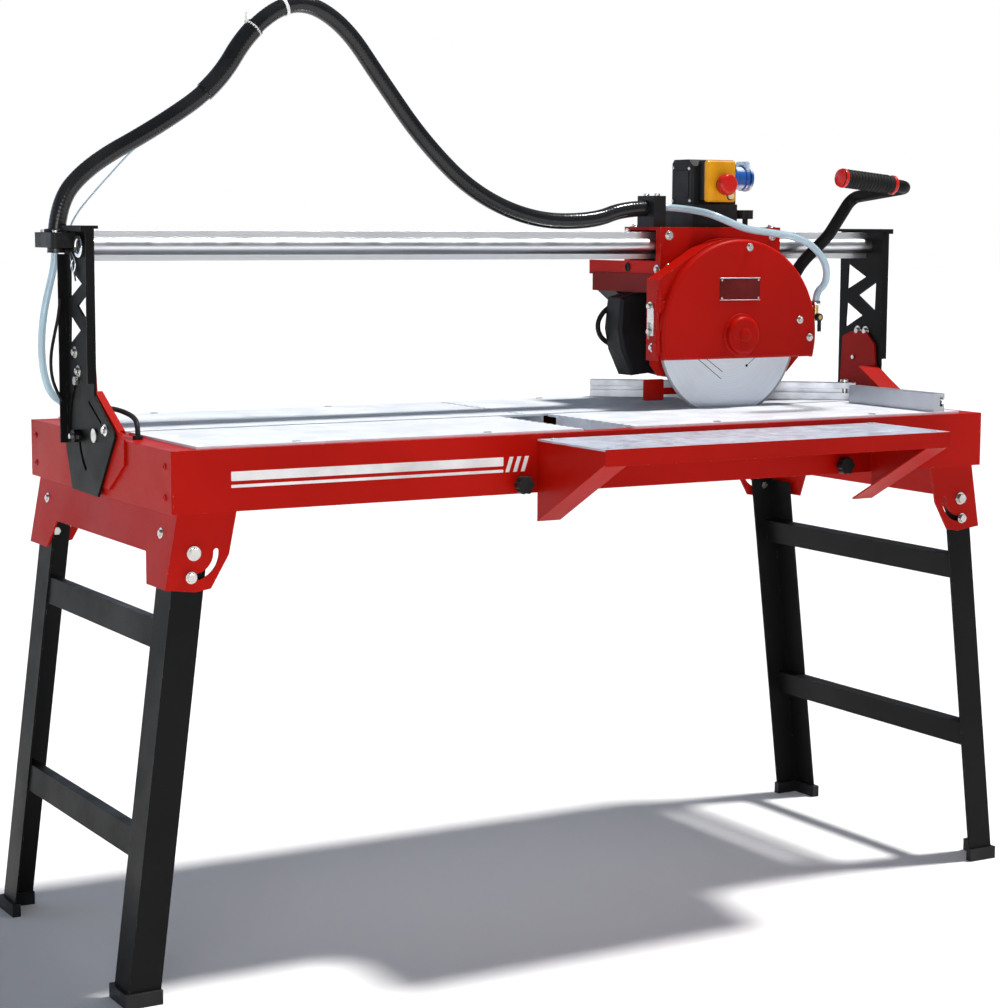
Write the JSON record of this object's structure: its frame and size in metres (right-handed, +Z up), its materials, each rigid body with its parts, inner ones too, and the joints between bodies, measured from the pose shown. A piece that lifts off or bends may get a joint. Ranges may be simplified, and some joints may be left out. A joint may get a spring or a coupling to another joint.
{
  "type": "bridge wet tile saw",
  "caption": "Bench wet tile saw with a tilting overhead rail, a sliding water-cooled blade head, a water tub, a side table and folding legs.",
  "frame": {"origin": "On the floor, at the bottom centre of the whole machine: midway between the feet left to right, and midway from the side table's front lip to the bench's back.", "axes": "+X along the rail to the operator's right, +Y away from the operator, +Z up."},
  "size_m": [1.692, 0.816, 1.5241],
  "materials": {
    "aluminium": "satin anodised",
    "black_enamel": "satin",
    "black_plastic": "moulded",
    "blade_steel": "ground",
    "blue_plastic": "moulded",
    "brass": "plain",
    "cable_rubber": "smooth",
    "clear_hose": "translucent",
    "conduit_plastic": "ribbed",
    "galvanised": "galvanised",
    "grip_rubber": "soft",
    "ivory_plastic": "moulded",
    "motor_black": "satin",
    "red_enamel": "semi-gloss",
    "red_plastic": "moulded",
    "table_zinc": "bright zinc",
    "yellow_plastic": "moulded",
    "zinc_steel": "bright zinc"
  },
  "bodies": {
    "bench": {"side_rails": "red_enamel", "end_rails": "red_enamel", "water_tub": "table_zinc", "table_supports": "table_zinc", "table_front_left": "table_zinc", "table_front_right": "table_zinc", "table_rear_left": "table_zinc", "table_rear_right": "table_zinc", "left_end_bracket": "red_enamel", "right_end_bracket": "red_enamel", "left_leg_bracket": "red_enamel", "right_leg_bracket": "red_enamel", "pivot_bolts": "zinc_steel", "water_pump": "black_plastic", "bench_fittings": "black_plastic", "pump_cable": "cable_rubber"},
    "left_legs": {"left_leg_frame": "black_enamel", "left_leg_shoes": "black_plastic", "left_lock_bolts": "zinc_steel"},
    "right_legs": {"right_leg_frame": "black_enamel", "right_leg_shoes": "black_plastic", "right_lock_bolts": "zinc_steel"},
    "bridge": {"left_upright": "black_enamel", "right_upright": "black_enamel", "beam": "aluminium", "left_hose_clamp": "black_plastic", "left_water_hose": "clear_hose"},
    "left_tilt_lever": {"left_tilt_lever": "black_enamel"},
    "right_tilt_lever": {"right_tilt_lever": "black_enamel"},
    "carriage": {"carriage_body": "red_enamel", "swing_shaft": "zinc_steel", "switch_box": "black_plastic", "start_switch": "yellow_plastic", "power_inlet": "blue_plastic", "right_hose_clamp": "black_plastic", "conduit": "conduit_plastic"},
    "beam_roller_1": {"beam_roller_1": "zinc_steel"},
    "beam_roller_2": {"beam_roller_2": "zinc_steel"},
    "stop_button": {"stop_button": "red_plastic"},
    "start_button": {"start_button": "ivory_plastic"},
    "inlet_lid": {"inlet_lid": "blue_plastic"},
    "carriage_knob": {"carriage_knob": "black_plastic"},
    "head": {"head_arm": "red_enamel", "motor": "motor_black", "guard_shell": "red_enamel", "handle": "black_enamel", "handle_grip": "grip_rubber", "water_tap": "brass", "right_water_hose": "clear_hose"},
    "spindle": {"rotor": "zinc_steel", "blade": "blade_steel", "blade_flanges": "zinc_steel"},
    "guard_cover": {"guard_cover": "red_enamel"},
    "tap_lever": {"tap_lever": "black_plastic"},
    "side_table": {"side_table_top": "galvanised", "side_table_frame": "red_enamel"},
    "table_knob_1": {"table_knob_1": "black_plastic"},
    "table_knob_2": {"table_knob_2": "black_plastic"},
    "rip_fence": {"rip_fence": "aluminium"},
    "mitre_fence": {"mitre_fence": "aluminium"}
  },
  "joints": [
    {"name": "left_leg_fold", "type": "hinge", "parent": "bench", "child": "left_legs", "pos_m": [-0.733, 0.101, 0.674], "axis": [0, -1, 0], "range_deg": [0, 96]},
    {"name": "right_leg_fold", "type": "hinge", "parent": "bench", "child": "right_legs", "pos_m": [0.733, 0.101, 0.674], "axis": [0, 1, 0], "range_deg": [0, 96]},
    {"name": "bridge_tilt", "type": "hinge", "parent": "bench", "child": "bridge", "pos_m": [0, 0.08, 0.826], "axis": [1, 0, 0], "range_deg": [0, 45], "deforming": ["left_water_hose"]},
    {"name": "left_tilt_lever_turn", "type": "hinge", "parent": "bench", "child": "left_tilt_lever", "pos_m": [-0.785, 0.15, 0.82], "axis": [1, 0, 0], "range_deg": [-90, 0]},
    {"name": "right_tilt_lever_turn", "type": "hinge", "parent": "bench", "child": "right_tilt_lever", "pos_m": [0.785, 0.15, 0.82], "axis": [1, 0, 0], "range_deg": [-90, 0]},
    {"name": "carriage_slide", "type": "slide", "parent": "bridge", "child": "carriage", "axis": [1, 0, 0], "range_m": [-0.96, 0.1], "deforming": ["conduit"]},
    {"name": "roller_1_spin", "type": "hinge", "parent": "carriage", "child": "beam_roller_1", "pos_m": [0.325, 0.155, 1.081], "axis": [0, 1, 0], "continuous": true},
    {"name": "roller_2_spin", "type": "hinge", "parent": "carriage", "child": "beam_roller_2", "pos_m": [0.5, 0.155, 1.081], "axis": [0, 1, 0], "continuous": true},
    {"name": "stop_button_press", "type": "slide", "parent": "carriage", "child": "stop_button", "axis": [0, 1, 0], "range_m": [0, 0.004], "stiffness_N_per_m": 800, "springref_m": -0.002},
    {"name": "start_button_press", "type": "slide", "parent": "carriage", "child": "start_button", "axis": [0, 1, 0], "range_m": [0, 0.003], "stiffness_N_per_m": 800, "springref_m": -0.002},
    {"name": "inlet_lid_turn", "type": "hinge", "parent": "carriage", "child": "inlet_lid", "pos_m": [0.508, 0.163, 1.267], "axis": [0, -1, 0], "range_deg": [0, 100]},
    {"name": "carriage_knob_turn", "type": "hinge", "parent": "carriage", "child": "carriage_knob", "pos_m": [0.486, 0.123, 1.16], "axis": [0, 0, 1], "continuous": true},
    {"name": "head_plunge", "type": "hinge", "parent": "carriage", "child": "head", "pos_m": [0.3, 0.201, 1.05], "axis": [0, -1, 0], "range_deg": [0, 12], "deforming": ["right_water_hose"]},
    {"name": "blade_spin", "type": "hinge", "parent": "head", "child": "spindle", "pos_m": [0.42, 0.08, 0.96], "axis": [0, 1, 0], "continuous": true},
    {"name": "guard_cover_swing", "type": "hinge", "parent": "head", "child": "guard_cover", "pos_m": [0.2445, 0.045, 0.98], "axis": [0, 0, 1], "range_deg": [-110, 0]},
    {"name": "tap_lever_turn", "type": "hinge", "parent": "head", "child": "tap_lever", "pos_m": [0.608, 0.056, 0.988], "axis": [0, -1, 0], "range_deg": [0, 90]},
    {"name": "side_table_lift", "type": "slide", "parent": "bench", "child": "side_table", "axis": [0, 0, 1], "range_m": [0, 0.05]},
    {"name": "table_knob_1_turn", "type": "hinge", "parent": "bench", "child": "table_knob_1", "pos_m": [-0.184, -0.215, 0.748], "axis": [0, 1, 0], "continuous": true},
    {"name": "table_knob_2_turn", "type": "hinge", "parent": "bench", "child": "table_knob_2", "pos_m": [0.455, -0.215, 0.748], "axis": [0, 1, 0], "continuous": true},
    {"name": "rip_fence_slide", "type": "slide", "parent": "bench", "child": "rip_fence", "axis": [1, 0, 0], "range_m": [-0.3, 0.025]},
    {"name": "mitre_fence_swing", "type": "hinge", "parent": "bench", "child": "mitre_fence", "pos_m": [0.712, 0.106, 0.846], "axis": [0, 0, 1], "range_deg": [0, 30]}
  ],
  "couplings": [
    {"joint": "roller_1_spin", "follows": "carriage_slide", "rad_per_m": -79.365},
    {"joint": "roller_2_spin", "follows": "carriage_slide", "rad_per_m": -79.365}
  ]
}
